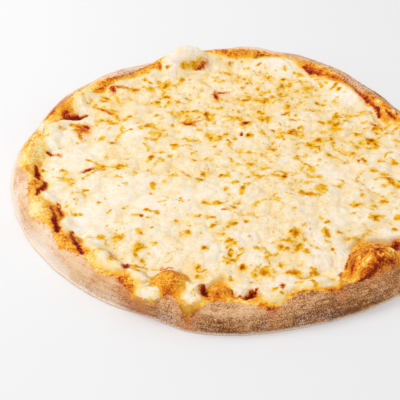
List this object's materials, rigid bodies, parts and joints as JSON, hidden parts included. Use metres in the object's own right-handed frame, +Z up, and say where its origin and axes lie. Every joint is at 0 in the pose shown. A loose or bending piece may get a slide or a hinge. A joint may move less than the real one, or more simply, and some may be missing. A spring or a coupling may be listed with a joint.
{
  "type": "margherita pizza",
  "caption": "Whole round margherita pizza: baked dough base with a raised uneven rim, a thin layer of tomato sauce and a melted, browned mozzarella layer.",
  "frame": {"origin": "middle of the flat underside", "axes": "+Z up, through the toppings; -Y faces the viewer of the picture; +X to the viewer's right"},
  "size_m": [0.3255, 0.32, 0.0284],
  "materials": {
    "dough_crust": "floury baked dough, tan with darker brown patches",
    "tomato_sauce": "wet, dark red",
    "mozzarella_layer": "melted, slightly oily, cream with ochre browned spots"
  },
  "bodies": {
    "root": {"dough_crust": "dough_crust", "tomato_sauce": "tomato_sauce", "mozzarella_layer": "mozzarella_layer"}
  },
  "joints": []
}
